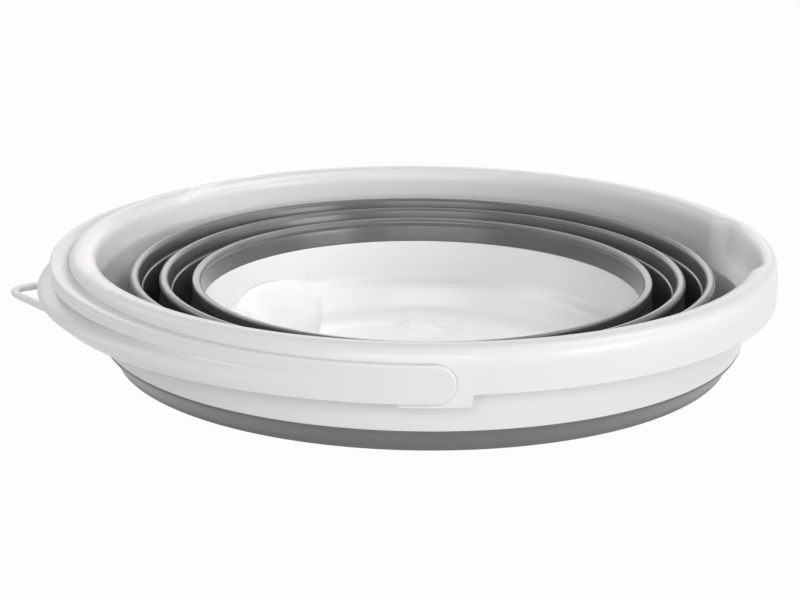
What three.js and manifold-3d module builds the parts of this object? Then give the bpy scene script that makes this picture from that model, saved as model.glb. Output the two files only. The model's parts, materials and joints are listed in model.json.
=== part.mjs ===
// Collapsible bucket, folded flat: a rim collar with a bail handle, a rubber bellows and a base cup.
// Millimetres, +Z up. The origin is on the bucket's axis, on the underside of the base.
// The handle lies on the -X side, the pouring lip is at +X, and the handle's pivot axis runs along Y.
import * as THREE from 'three';
import { mergeVertices } from 'three/addons/utils/BufferGeometryUtils.js';
import Module from 'manifold-3d';

// Fits and facets
const JOINT_GAP = 0.3; // between mouldings that meet
const RUN_GAP = 0.7; // between the handle and what it swings past
const ROUND_STEPS = 64; // facets in a full turn
const END_STEPS = 3; // facets on a wall's rounded end
const PEG_STEPS = 24; // facets round a peg

// Base cup
const BASE_WALL = 2.4;
const FLOOR_THICKNESS = 2.5;
const FLOOR_RADIUS = 86.5; // inside, the foot of the lower wall
const FLOOR_CURVE = 3; // the floor curves up into the wall
const LOWER_WALL_FLARE = 4.3; // the lower wall leans out by this much
const BREAK_HEIGHT = 11.5; // the lower wall is steeper below this height
const BREAK_FLARE = 0.9; // and leans out by this much there
const STEP_HEIGHT = 21; // top of the lower wall
const STEP_WIDTH = 6.6; // the ledge between the lower and the upper wall
const STEP_RISE = 3; // the ledge slopes up by this much
const UPPER_WALL_FLARE = 2.35; // the upper wall leans out by this much
const CUP_TOP_HEIGHT = 42;

// Finger recess in the base, and the raised pad on the floor
const RECESS_AZIMUTH = 140.5; // degrees from the pouring lip
const RECESS_OFFSET = 9.5; // centre, outside the foot of the lower wall
const RECESS_HALF_WIDTH = 21.5;
const RECESS_DEPTH = 18;
const RECESS_HEIGHT = 31;
const PAD_AZIMUTH = 89;
const PAD_OFFSET = 8; // centre, inside the foot of the lower wall
const PAD_RADIUS = 14;
const PAD_HEIGHT = 3.5;

// Bellows, from the cup outwards
const INNER_BAND_FLARE = 3.65; // cup's top edge to the inner crest
const INNER_BAND_HEIGHT = 11.1;
const FOLD_PITCHES = [13.1, 14.8]; // outer to middle crest, middle to inner crest
const PEAK_STEP = 1.85; // each crest is this much higher than the one inside it
const FOLD_HEIGHT = 37.8; // crest to root
const OUTER_FOLD_FLARE = 8.7; // outer crest to the bellows' lowest outer edge
const OUTER_BAND_FLARE = 5.7; // lowest outer edge to the seam with the collar
const OUTER_BAND_HEIGHT = 10.6;
const CREST_THICKNESS = 2.8;
const ROOT_THICKNESS = 2.4;
const PANEL_THICKNESS = 1.5;
const HINGE_SETBACK = 1.5; // a turning panel stops this far short of its crest and root

// Rim collar, from the seam up and outwards
const COLLAR_WALL = 2.4;
const SKIRT_DEPTH = 19.6; // seam to the brim's lower edge
const BRIM_OVERHANG = 14.3; // the brim's outside, past the seam
const BRIM_DEPTH = 10.3; // the brim's straight outer wall
const LIP_OVERHANG = 6.8; // the lip's crest, past the seam
const LIP_RISE = 8.9; // the lip's roll, above the brim's straight wall
const LIP_INNER_ROLL = 5.3; // crest to inner wall
const LIP_INNER_FALL = 6; // depth of the roll on the inner side
const SPOUT_REACH = 6.6; // the pouring lip moves the inner wall out by this much
const SPOUT_HALF_ANGLE = 18.5;
const SPOUT_TIP_ANGLE = 14.5; // full depth within this angle
const SPOUT_STEPS = 20; // facets across it
const SPOUT_DEPTH = 22.4; // the scoop fades out this far below its roll

// Handle
const PIVOT_RISE = 5.2; // pivot axis above the brim's lower edge
const HANDLE_BAND = 2.4; // radial thickness at the pivots
const HANDLE_WIDTH = 16.2; // height of the flat band
const HANDLE_EDGE = 0.7; // bevel along the top
const GRIP_RISE = 2; // the grip's top above the band's top
const FOOT_REACH = 3.9; // grip past the band, at the lower edge
const FLANGE_REACH = 10.4; // at the flared lower lip
const GROOVE_REACH = 2; // in the groove
const BEAD_REACH = 4.6; // above the groove
const FLANGE_LOW = 5.5; // where the lip is widest, above the lower edge
const FLANGE_HIGH = 7.2;
const GROOVE_LOW = 9.8; // the groove between the lip and the upper part
const GROOVE_HIGH = 10.5;
const BEAD_LOW = 12.8;
const GRIP_FULL_ANGLE = 20; // degrees from the middle of the handle
const GRIP_END_ANGLE = 78;
const GRIP_WALL = 2.2; // walls round the channel behind the flared lip
const PEG_RADIUS = 3;
const PEG_LIP = 0.9; // the peg's head stands out by this much
const PEG_HEAD_LENGTH = 1.5;

// Pivot tabs and hanging eye on the collar
const TAB_WIDTH = 29;
const TAB_DEPTH = 5.2; // below the brim's lower edge
const EYE_THICKNESS = 2.2;
const EYE_REACH = 27.4; // from the brim to the tip
const EYE_SLOPE = 0.1; // rise of the plate for each unit outwards
const EYE_STRAND = 4.2;
const EYE_HALF_WIDTH = 29;
const EYE_TIP_RADIUS = 4.5;
const EYE_HOLE_RADIUS = 1.5;

// Radii and heights that follow from these, from the base outwards and upwards
const stepInnerRadius = FLOOR_RADIUS + LOWER_WALL_FLARE;
const cupLowerRadius = stepInnerRadius + STEP_WIDTH;
const cupTopRadius = cupLowerRadius + UPPER_WALL_FLARE;
const foldCount = FOLD_PITCHES.length + 1;
const innerCrestRadius = cupTopRadius + INNER_BAND_FLARE;
const innerCrestHeight = CUP_TOP_HEIGHT + INNER_BAND_HEIGHT;
const sum = (numbers) => numbers.reduce((total, value) => total + value, 0);
const crestRadius = (fold) => innerCrestRadius + sum(FOLD_PITCHES.slice(fold));
const crestHeight = (fold) => innerCrestHeight + PEAK_STEP * (foldCount - 1 - fold);
const rootHeight = (fold) => crestHeight(fold) - FOLD_HEIGHT;
const outerRootRadius = crestRadius(0) + OUTER_FOLD_FLARE;
const rootRadius = (fold) => (fold === 0 ? outerRootRadius : (crestRadius(fold - 1) + crestRadius(fold)) / 2);
const skirtRadius = outerRootRadius + OUTER_BAND_FLARE;
const skirtHeight = rootHeight(0) + OUTER_BAND_HEIGHT;
const brimRadius = skirtRadius + BRIM_OVERHANG;
const brimLower = skirtHeight + SKIRT_DEPTH;
const brimUpper = brimLower + BRIM_DEPTH;
const lipRadius = skirtRadius + LIP_OVERHANG;
const lipHeight = brimUpper + LIP_RISE;
const pivotHeight = brimLower + PIVOT_RISE;
const handleInner = brimRadius + RUN_GAP;
const handleLower = pivotHeight - HANDLE_WIDTH / 2;
const eyeTipLower = handleLower - RUN_GAP - EYE_THICKNESS;
const eyeRootLower = eyeTipLower - EYE_SLOPE * EYE_REACH;

const wasm = await Module();
wasm.setup();

const whitePlastic = new THREE.MeshStandardMaterial({ color: 0xf1f1ef, roughness: 0.3, metalness: 0 });
const greyRubber = new THREE.MeshStandardMaterial({ color: 0x6c6d6f, roughness: 0.45, metalness: 0 });

const radians = THREE.MathUtils.degToRad;
const lerp = THREE.MathUtils.lerp;
const smoothstep = THREE.MathUtils.smoothstep;

// Geometry helpers

// A closed solid from a surface: merges shared points, drops empty triangles, turns the faces outwards.
function solid(geometry) {
  const bare = geometry.clone();
  for (const name of Object.keys(bare.attributes)) {
    if (name !== 'position') bare.deleteAttribute(name);
  }
  const merged = mergeVertices(bare, 1e-4);
  const points = merged.attributes.position.array;
  const index = merged.index.array;
  const triangles = [];
  let volume = 0;
  const a = new THREE.Vector3();
  const b = new THREE.Vector3();
  const c = new THREE.Vector3();
  for (let i = 0; i < index.length; i += 3) {
    const [i0, i1, i2] = [index[i], index[i + 1], index[i + 2]];
    if (i0 === i1 || i1 === i2 || i2 === i0) continue;
    triangles.push(i0, i1, i2);
    a.fromArray(points, 3 * i0);
    b.fromArray(points, 3 * i1);
    c.fromArray(points, 3 * i2);
    volume += a.dot(b.cross(c));
  }
  if (volume < 0) triangles.reverse();
  return new wasm.Manifold(new wasm.Mesh({
    numProp: 3,
    vertProperties: new Float32Array(points),
    triVerts: new Uint32Array(triangles),
  }));
}

// A named mesh of one solid.
function piece(name, body, material) {
  const { numProp, vertProperties, triVerts } = body.getMesh();
  const positions = [];
  for (let i = 0; i < vertProperties.length; i += numProp) {
    positions.push(vertProperties[i], vertProperties[i + 1], vertProperties[i + 2]);
  }
  const geometry = new THREE.BufferGeometry();
  geometry.setAttribute('position', new THREE.Float32BufferAttribute(positions, 3));
  geometry.setIndex(Array.from(triVerts));
  geometry.computeVertexNormals();
  const mesh = new THREE.Mesh(geometry, material);
  mesh.name = name;
  return mesh;
}

// Turns a profile of (radius, height) points about the Z axis.
function revolve(profile) {
  const geometry = new THREE.LatheGeometry(profile, ROUND_STEPS);
  return solid(geometry.rotateX(Math.PI / 2));
}

// The mean of a ring of points.
const middle = (ring) => [0, 1, 2].map((axis) => sum(ring.map((p) => p[axis])) / ring.length);

// Carries a section of (radius, height) points round the Z axis. The section may change with the azimuth,
// and the ends of an open sweep, where the section is convex, are closed.
function sweep(sectionAt, azimuths, closed) {
  const rings = azimuths.map((azimuth) => {
    const angle = radians(azimuth);
    return sectionAt(azimuth).map((p) => [p.x * Math.cos(angle), p.x * Math.sin(angle), p.y]);
  });
  const count = rings[0].length;
  const points = rings.flat();
  const index = [];
  const spans = closed ? rings.length : rings.length - 1;
  for (let i = 0; i < spans; i++) {
    const here = i * count;
    const next = ((i + 1) % rings.length) * count;
    for (let j = 0; j < count; j++) {
      const k = (j + 1) % count;
      index.push(here + j, next + j, next + k, here + j, next + k, here + k);
    }
  }
  if (!closed) {
    const last = (rings.length - 1) * count;
    const first = points.push(middle(rings[0]), middle(rings.at(-1))) - 2;
    for (let j = 0; j < count; j++) {
      const k = (j + 1) % count;
      index.push(first, j, k, first + 1, last + k, last + j);
    }
  }
  const geometry = new THREE.BufferGeometry();
  geometry.setAttribute('position', new THREE.Float32BufferAttribute(points.flat(), 3));
  geometry.setIndex(index);
  return solid(geometry);
}

const point = (radius, height) => new THREE.Vector2(radius, height);

// Equal steps from one azimuth to another, both included.
function steps(from, to, count) {
  return Array.from({ length: count + 1 }, (_, i) => lerp(from, to, i / count));
}

// Points on an elliptical arc, angles in degrees from the outward direction.
function arc(centre, reach, rise, from, to, count) {
  return steps(from, to, count).map((degrees) => {
    const angle = radians(degrees);
    return point(centre.x + reach * Math.cos(angle), centre.y + rise * Math.sin(angle));
  });
}

// Outline of a wall with round ends: one radius at the foot, another at the head.
function roundedWall(foot, footRadius, head, headRadius, endSteps) {
  const lean = leanBetween(foot, head);
  const outline = [
    ...arc(head, headRadius, headRadius, lean - 90, lean + 90, endSteps),
    ...arc(foot, footRadius, footRadius, lean + 90, lean + 270, endSteps),
  ];
  return [...outline, outline[0].clone()];
}

function cylinderAlongY(radius, from, to) {
  const geometry = new THREE.CylinderGeometry(radius, radius, Math.abs(to - from), PEG_STEPS);
  return geometry.translate(0, (from + to) / 2, 0);
}

// Bellows

const crestCentre = (fold) => point(crestRadius(fold), crestHeight(fold) - CREST_THICKNESS / 2);
const rootHalf = ROOT_THICKNESS / 2;
const rootCentre = (fold) => point(rootRadius(fold) - rootHalf, rootHeight(fold) + rootHalf);

// The direction from one point to another, in degrees from the outward direction.
const leanBetween = (from, to) => THREE.MathUtils.radToDeg(Math.atan2(to.y - from.y, to.x - from.x));

// The band that hangs from the collar's skirt to the lowest outer edge.
function makeOuterBand() {
  const root = rootCentre(0);
  const top = skirtHeight - JOINT_GAP;
  const lean = leanBetween(root, point(skirtRadius - rootHalf, top));
  const outline = [
    point(skirtRadius, top),
    point(skirtRadius - ROOT_THICKNESS, top),
    ...arc(root, rootHalf, rootHalf, lean + 90, lean + 270, END_STEPS),
  ];
  return revolve([...outline, outline[0].clone()]);
}

// A stiff ring from one fold's crest down to the next fold's root.
function makeFoldRing(fold) {
  const foot = rootCentre(fold + 1);
  return revolve(roundedWall(foot, rootHalf, crestCentre(fold), CREST_THICKNESS / 2, END_STEPS));
}

// The band from the last crest down to the cup's top edge.
function makeInnerBand() {
  const crest = crestCentre(foldCount - 1);
  const seam = CUP_TOP_HEIGHT + JOINT_GAP;
  const lean = leanBetween(point(cupTopRadius + BASE_WALL / 2, seam), crest);
  const outline = [
    point(cupTopRadius, seam),
    point(cupTopRadius + BASE_WALL, seam),
    ...arc(crest, CREST_THICKNESS / 2, CREST_THICKNESS / 2, lean - 90, lean + 90, END_STEPS),
  ];
  return revolve([...outline, outline[0].clone()]);
}

// The panel that turns inside out between a root and its crest. Folded, it stands between the wall that ends
// in that root and the ring that starts at that crest.
function makeFoldPanel(fold) {
  const half = PANEL_THICKNESS / 2;
  const root = rootCentre(fold);
  const crest = crestCentre(fold);
  const foot = point(root.x - rootHalf - JOINT_GAP - half, root.y + HINGE_SETBACK);
  const head = point(crest.x + CREST_THICKNESS / 2 + JOINT_GAP + half, crest.y - HINGE_SETBACK);
  return revolve(roundedWall(foot, half, head, half, END_STEPS - 1));
}

// Base cup

function makeBaseCup() {
  const outer = revolve([
    point(0, 0),
    point(FLOOR_RADIUS, 0),
    point(FLOOR_RADIUS + FLOOR_CURVE, FLOOR_CURVE),
    point(stepInnerRadius + BASE_WALL, STEP_HEIGHT - BASE_WALL),
    point(cupLowerRadius + BASE_WALL, STEP_HEIGHT + STEP_RISE - BASE_WALL),
    point(cupTopRadius + BASE_WALL, CUP_TOP_HEIGHT),
    point(0, CUP_TOP_HEIGHT),
  ]);
  const inner = revolve([
    point(0, FLOOR_THICKNESS),
    point(FLOOR_RADIUS - FLOOR_CURVE, FLOOR_THICKNESS),
    point(FLOOR_RADIUS, FLOOR_THICKNESS + FLOOR_CURVE),
    point(FLOOR_RADIUS + BREAK_FLARE, BREAK_HEIGHT),
    point(stepInnerRadius, STEP_HEIGHT),
    point(cupLowerRadius, STEP_HEIGHT + STEP_RISE),
    point(cupTopRadius, CUP_TOP_HEIGHT),
    point(cupTopRadius, CUP_TOP_HEIGHT + BASE_WALL),
    point(0, CUP_TOP_HEIGHT + BASE_WALL),
  ]);
  const recessDome = (inset) => {
    const dome = new THREE.SphereGeometry(1, 20, 14);
    dome.scale(RECESS_DEPTH - inset, RECESS_HALF_WIDTH - inset, RECESS_HEIGHT - inset);
    dome.translate(FLOOR_RADIUS + RECESS_OFFSET, 0, 0);
    return solid(dome.rotateZ(radians(RECESS_AZIMUTH)));
  };
  const pad = new THREE.SphereGeometry(1, 16, 8);
  pad.scale(PAD_RADIUS, PAD_RADIUS, PAD_HEIGHT);
  pad.translate(FLOOR_RADIUS - PAD_OFFSET, 0, FLOOR_THICKNESS);
  pad.rotateZ(radians(PAD_AZIMUTH));
  const hollow = inner.subtract(recessDome(0)).subtract(solid(pad));
  return outer.subtract(hollow).subtract(recessDome(BASE_WALL));
}

// Rim collar

// How far the pouring lip has formed at an azimuth: 1 in its middle, 0 outside it.
function spoutShare(azimuth) {
  const away = Math.abs(((azimuth + 540) % 360) - 180);
  return 1 - smoothstep(away, SPOUT_TIP_ANGLE, SPOUT_HALF_ANGLE);
}

// The collar's section: up the outside of the skirt, round the brim's hollow, over the lip, down the inside.
function collarSection(azimuth) {
  const reach = SPOUT_REACH * spoutShare(azimuth);
  const skirtInner = skirtRadius - COLLAR_WALL;
  const innerTop = lipHeight - LIP_INNER_FALL;
  const scoopFoot = innerTop - SPOUT_DEPTH;
  const innerAt = (height) => {
    const share = (height - skirtHeight) / (innerTop - skirtHeight);
    const scoop = reach * smoothstep(height, scoopFoot, innerTop);
    return lerp(skirtInner, lipRadius - LIP_INNER_ROLL, share) + scoop;
  };
  const hollowInner = innerAt(brimUpper) + COLLAR_WALL;
  const hollowOuter = brimRadius - COLLAR_WALL;
  const hollowMiddle = point((hollowInner + hollowOuter) / 2, brimUpper);
  const rollRadius = lipRadius + reach / 2;
  return [
    point(skirtInner, skirtHeight),
    point(skirtRadius, skirtHeight),
    point(innerAt(scoopFoot) + COLLAR_WALL, scoopFoot),
    point(innerAt(brimLower) + COLLAR_WALL, brimLower),
    ...arc(hollowMiddle, hollowOuter - hollowMiddle.x, LIP_RISE - COLLAR_WALL, 180, 0, 4),
    point(hollowOuter, brimLower),
    point(brimRadius, brimLower),
    ...arc(point(rollRadius, brimUpper), brimRadius - rollRadius, LIP_RISE, 0, 90, 5),
    ...arc(point(rollRadius, innerTop), rollRadius - innerAt(innerTop), LIP_INNER_FALL, 112.5, 180, 3),
    point(innerAt(brimLower), brimLower),
    point(innerAt(scoopFoot), scoopFoot),
  ];
}

// A piece of the brim's wall carried down to a lower height over a stretch of azimuth.
function brimTab(from, to, lowerHeight) {
  const inner = brimRadius - COLLAR_WALL;
  const upper = brimLower + COLLAR_WALL;
  const section = [
    point(inner, lowerHeight),
    point(brimRadius, lowerHeight),
    point(brimRadius, upper),
    point(inner, upper),
  ];
  return sweep(() => section, steps(from, to, 6), false);
}

// The hanging eye: a flat triangle with a round tip that rises outwards, under the middle of the handle.
function makeHangingEye() {
  const wallMiddle = -brimRadius + COLLAR_WALL / 2;
  const tipX = -brimRadius - EYE_REACH;
  const slope = Math.atan2(EYE_HALF_WIDTH, wallMiddle - tipX);
  const tangent = Math.PI / 2 + slope;
  // Draws a triangle with its round tip at a centre on the X axis and its base at a given x.
  const drawLoop = (path, centreX, radius, baseX) => {
    const tangentX = centreX + radius * Math.cos(tangent);
    const half = radius * Math.sin(tangent) + (baseX - tangentX) * Math.tan(slope);
    path.moveTo(baseX, -half);
    path.lineTo(baseX, half);
    path.absarc(centreX, 0, radius, tangent, 2 * Math.PI - tangent, false);
    path.closePath();
    return path;
  };
  const outerCentre = tipX + EYE_TIP_RADIUS;
  const holeCentre = outerCentre + (EYE_STRAND + EYE_HOLE_RADIUS - EYE_TIP_RADIUS) / Math.sin(slope);
  const shape = drawLoop(new THREE.Shape(), outerCentre, EYE_TIP_RADIUS, wallMiddle);
  shape.holes.push(drawLoop(new THREE.Path(), holeCentre, EYE_HOLE_RADIUS, wallMiddle - EYE_STRAND));
  const thickness = { depth: EYE_THICKNESS, bevelEnabled: false, curveSegments: 6 };
  const plate = new THREE.ExtrudeGeometry(shape, thickness);
  plate.translate(0, 0, eyeTipLower + EYE_SLOPE * tipX);
  return solid(plate.applyMatrix4(new THREE.Matrix4().makeShear(0, -EYE_SLOPE, 0, 0, 0, 0)));
}

function makeRimCollar() {
  const around = steps(0, 360, ROUND_STEPS).filter((angle) => spoutShare(angle) === 0);
  const turn = [...steps(-SPOUT_HALF_ANGLE, SPOUT_HALF_ANGLE, SPOUT_STEPS), ...around];
  let collar = sweep(collarSection, turn, true);
  const angleAt = (x) => THREE.MathUtils.radToDeg(Math.asin(x / brimRadius));
  const tabAngle = angleAt(TAB_WIDTH / 2);
  collar = collar.add(brimTab(-90 - tabAngle, -90 + tabAngle, brimLower - TAB_DEPTH));
  collar = collar.add(brimTab(90 - tabAngle, 90 + tabAngle, brimLower - TAB_DEPTH));
  const eyeAngle = angleAt(EYE_HALF_WIDTH);
  collar = collar.add(brimTab(180 - eyeAngle, 180 + eyeAngle, eyeRootLower)).add(makeHangingEye());
  for (const side of [-1, 1]) {
    const from = side * (brimRadius - 2 * COLLAR_WALL);
    const to = side * (brimRadius + COLLAR_WALL);
    const hole = cylinderAlongY(PEG_RADIUS + JOINT_GAP, from, to);
    collar = collar.subtract(solid(hole.translate(0, 0, pivotHeight)));
  }
  return collar;
}

// Handle

// Share of the grip's full section at an angle from the middle of the handle.
const gripShare = (angle) => 1 - smoothstep(Math.abs(angle), GRIP_FULL_ANGLE, GRIP_END_ANGLE);

// Half the band's height: full along the handle, and a half circle past each pivot.
function bandHalf(angle) {
  const past = handleInner * Math.sin(radians(Math.abs(angle) - 90));
  const radius = HANDLE_WIDTH / 2;
  return past <= 0 ? radius : Math.sqrt(Math.max(radius * radius - past * past, JOINT_GAP));
}

// The handle's section: a flat band at the pivots, with a flared lower lip, a groove and a thick upper part
// along the grip. A channel behind the lip keeps the wall even.
function handleSection(azimuth) {
  const angle = azimuth - 180;
  const grip = gripShare(angle);
  const half = bandHalf(angle);
  const lower = pivotHeight - half;
  const upper = pivotHeight + half + GRIP_RISE * grip;
  const at = (height) => lower + (height * half * 2) / HANDLE_WIDTH;
  const outer = (reach) => handleInner + HANDLE_BAND + reach * grip;
  const behind = (reach) => outer(reach) - lerp(HANDLE_BAND, GRIP_WALL, grip);
  const footReach = lerp(FOOT_REACH, FLANGE_REACH, GRIP_WALL / FLANGE_LOW);
  const channelTop = at(FLANGE_HIGH - GRIP_WALL / 2);
  return [
    point(handleInner, lower),
    point(outer(FOOT_REACH), lower),
    point(outer(FLANGE_REACH), at(FLANGE_LOW)),
    point(outer(FLANGE_REACH), at(FLANGE_HIGH)),
    point(outer(GROOVE_REACH), at(GROOVE_LOW)),
    point(outer(GROOVE_REACH), at(GROOVE_HIGH)),
    point(outer(BEAD_REACH), at(BEAD_LOW)),
    point(outer(BEAD_REACH), upper - (HANDLE_EDGE * 2 * half) / HANDLE_WIDTH),
    point(outer(BEAD_REACH) - HANDLE_EDGE, upper),
    point(handleInner, upper),
    point(handleInner, channelTop),
    point(behind(FLANGE_REACH), channelTop),
    point(behind(FLANGE_REACH), at(FLANGE_LOW)),
    point(behind(footReach), at(GRIP_WALL)),
    point(handleInner, at(GRIP_WALL)),
  ];
}

function makeHandle() {
  const endAngle = 90 + THREE.MathUtils.radToDeg(Math.asin(HANDLE_WIDTH / 2 / handleInner));
  const roundEnd = steps(0, 90, 6).map((turn) => lerp(90, endAngle, Math.sin(radians(turn))));
  const half = [...steps(0, 90, 22).slice(0, -1), ...roundEnd];
  const azimuths = [...half.slice(1).reverse().map((angle) => -angle), ...half].map((angle) => 180 + angle);
  let handle = sweep(handleSection, azimuths, false);
  for (const side of [-1, 1]) {
    const wallInside = brimRadius - COLLAR_WALL - 2 * JOINT_GAP;
    const headEnd = wallInside - PEG_HEAD_LENGTH;
    const peg = cylinderAlongY(PEG_RADIUS, side * headEnd, side * (handleInner + HANDLE_BAND / 2));
    const head = cylinderAlongY(PEG_RADIUS + PEG_LIP, side * headEnd, side * wallInside);
    handle = handle.add(solid(peg.translate(0, 0, pivotHeight)));
    handle = handle.add(solid(head.translate(0, 0, pivotHeight)));
  }
  return handle;
}

// Assembly

const bucket = new THREE.Group();
bucket.add(piece('base_cup', makeBaseCup(), whitePlastic));
bucket.add(piece('inner_band', makeInnerBand(), greyRubber));
for (let fold = 0; fold < foldCount; fold++) {
  bucket.add(piece(`fold_panel_${fold + 1}`, makeFoldPanel(fold), greyRubber));
  if (fold < foldCount - 1) bucket.add(piece(`fold_ring_${fold + 1}`, makeFoldRing(fold), greyRubber));
}
bucket.add(piece('outer_band', makeOuterBand(), greyRubber));
bucket.add(piece('rim_collar', makeRimCollar(), whitePlastic));
bucket.add(piece('bail_handle', makeHandle(), whitePlastic));

export default bucket;
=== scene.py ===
"""Collapsible bucket, folded flat: finished surfaces and finishes built around its CAD frame.

Sizes in the classes are millimetres and meshes are metres, +Z up. The bucket's axis is Z, the handle lies on
the -X side, the pouring lip is at +X and the camera stands on the -Y side. Azimuths are degrees from +X
towards +Y. A section is a closed outline of (radius, height) points, counter-clockwise.
"""

from __future__ import annotations

import json
import logging
import math
from dataclasses import dataclass, field
from enum import Enum
from typing import Any

import bpy
import numpy as np
from mathutils import Matrix, Vector

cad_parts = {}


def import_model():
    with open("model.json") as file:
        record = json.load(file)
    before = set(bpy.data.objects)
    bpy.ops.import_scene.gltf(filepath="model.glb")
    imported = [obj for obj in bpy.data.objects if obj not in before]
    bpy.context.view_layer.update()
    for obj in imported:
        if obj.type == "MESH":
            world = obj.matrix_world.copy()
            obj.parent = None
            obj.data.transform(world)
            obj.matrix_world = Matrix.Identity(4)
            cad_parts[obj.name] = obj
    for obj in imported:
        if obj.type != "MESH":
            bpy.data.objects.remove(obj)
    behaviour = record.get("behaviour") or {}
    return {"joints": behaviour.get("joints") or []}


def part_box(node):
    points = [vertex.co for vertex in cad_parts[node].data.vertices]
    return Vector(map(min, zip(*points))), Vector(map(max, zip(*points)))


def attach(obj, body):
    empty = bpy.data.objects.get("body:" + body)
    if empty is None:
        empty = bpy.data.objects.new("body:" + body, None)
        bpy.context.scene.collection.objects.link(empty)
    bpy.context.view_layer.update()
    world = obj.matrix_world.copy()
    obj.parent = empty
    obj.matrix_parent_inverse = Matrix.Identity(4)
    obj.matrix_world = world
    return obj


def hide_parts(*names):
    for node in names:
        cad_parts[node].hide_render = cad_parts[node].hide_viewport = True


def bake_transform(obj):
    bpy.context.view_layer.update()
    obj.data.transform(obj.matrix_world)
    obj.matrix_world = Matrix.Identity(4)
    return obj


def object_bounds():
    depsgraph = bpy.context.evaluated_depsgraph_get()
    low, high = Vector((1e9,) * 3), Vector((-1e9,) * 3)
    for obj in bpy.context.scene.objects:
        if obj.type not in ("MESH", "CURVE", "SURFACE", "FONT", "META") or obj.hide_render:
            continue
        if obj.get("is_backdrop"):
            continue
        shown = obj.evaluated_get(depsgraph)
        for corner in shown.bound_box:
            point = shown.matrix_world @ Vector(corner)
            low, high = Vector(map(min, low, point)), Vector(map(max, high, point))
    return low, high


Array = np.ndarray

MM = 0.001
EDGE_ATTRIBUTE = "edge"
EDGE_RADIUS = 1.1  # a convex rounding of this radius or less counts as a full edge, mm
CURVE_LIMIT = 0.47  # share of a straight run that one corner's rounding may take
GUARD_SHARE = 0.12  # place of the extra points on a straight run, from either end
TURN_STEPS = 288  # points round a full turn
CAP_STEPS = 13  # points round a wall's end, counting both sides' last ones
AZIMUTH_DIGITS = 3  # azimuths that agree to this many digits are one
AZIMUTH_GAP = 0.02  # smallest step between two azimuths, degrees
NEAR = 0.01  # distance within which two places count as one, mm
TINY_LENGTH = 1e-6
TINY_AREA = 1e-9

log = logging.getLogger("bucket")


class Body(Enum):
    """The moving bodies of the CAD frame."""

    BASE = "base"
    RING_2 = "ring_2"
    RING_1 = "ring_1"
    COLLAR = "collar"
    HANDLE = "handle"


class Finish(Enum):
    """The finishes, each with its name and the record's material slot that it belongs to, which nothing here
    reads.
    """

    WHITE_PLASTIC = ("white_plastic", "white_plastic")
    GREY_RUBBER = ("grey_rubber", "grey_rubber")
    # a lighter copy of the grey rubber for the outer band: painted light, set against the painted shade of
    # the folds' darker copy
    LIT_OUTER_RUBBER = ("lit_outer_rubber", "grey_rubber")


def smoothstep(value: Array | float, low: float, high: float) -> Array:
    """0 below low, 1 above high, and three t squared minus two t cubed between them."""
    t = np.clip((value - low) / (high - low), 0.0, 1.0)
    return t * t * (3.0 - 2.0 * t)


def mix(first: Array, second: Array, share: Array) -> Array:
    """The straight-line mix of two values."""
    return first + (second - first) * share


def soft_min(first: Array, second: Array, width: float) -> Array:
    """The smaller of two values, rounded over the given width where they cross.

    Args:
        first: one value.
        second: the other value.
        width: difference within which the crossing is rounded.

    Returns:
        The mix of both by h, which runs from 0 to 1 over the width, less width times h times (1 - h).
    """
    h = np.clip(0.5 + 0.5 * (second - first) / width, 0.0, 1.0)
    return mix(second, first, h) - width * h * (1.0 - h)


def edge_drop(distance: Array, radius: float) -> Array:
    """How far a face falls away near its outline: a quarter circle of this radius, by distance inwards."""
    inside = np.clip(radius - distance, 0.0, radius)
    return radius - np.sqrt(radius * radius - inside * inside)


def rounded_outline(corners: Array, cuts: Array, samples: int) -> Array:
    """Rounds the corners of closed outlines.

    Each corner c becomes the quadratic curve (1 - t)^2 a + 2 t (1 - t) c + t^2 b between a point a before it
    and a point b after it. Each straight run also gets a point near either end, which keeps its shading flat.

    Args:
        corners: points in order, (..., corner, 2).
        cuts: how far the curve reaches back and forward from its corner, (..., corner, 2).
        samples: points on each curve.

    Returns:
        Points in order, (..., corner, samples + 2, 2).
    """
    before = np.roll(corners, 1, axis=-2) - corners
    after = np.roll(corners, -1, axis=-2) - corners
    back_run = np.linalg.norm(before, axis=-1, keepdims=True)
    fore_run = np.linalg.norm(after, axis=-1, keepdims=True)
    start = corners + before * np.minimum(cuts[..., :1] / back_run, CURVE_LIMIT)
    end = corners + after * np.minimum(cuts[..., 1:] / fore_run, CURVE_LIMIT)
    t = np.linspace(0.0, 1.0, samples)[:, None]
    a, c, b = (points[..., None, :] for points in (start, corners, end))
    curve = (1 - t) ** 2 * a + 2 * t * (1 - t) * c + t**2 * b
    guard_in = mix(start, np.roll(end, 1, axis=-2), GUARD_SHARE)
    guard_out = mix(end, np.roll(start, -1, axis=-2), GUARD_SHARE)
    return np.concatenate([guard_in[..., None, :], curve, guard_out[..., None, :]], axis=-2)


def closed_section(corners: Array, cuts: Array, samples: int) -> Array:
    """A rounded outline as one run of points, (..., point, 2)."""
    outline = rounded_outline(corners, cuts, samples)
    return outline.reshape(*outline.shape[:-3], -1, 2)


def open_profile(corners: Array, cuts: Array, samples: int) -> Array:
    """A rounded outline from one corner on the axis to another, without those two, (point, 2)."""
    outline = rounded_outline(corners, cuts, samples)
    return np.concatenate([outline[0, -1:], outline[1:-1].reshape(-1, 2), outline[-1, :1]])


def stacked(pairs: list[tuple[Array | float, Array | float]], count: int) -> Array:
    """Pairs of values, each even or varying along a turn, as points in order, (count, pair, 2)."""
    return np.stack([np.stack([np.broadcast_to(v, count) for v in pair], axis=-1) for pair in pairs], axis=1)


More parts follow.
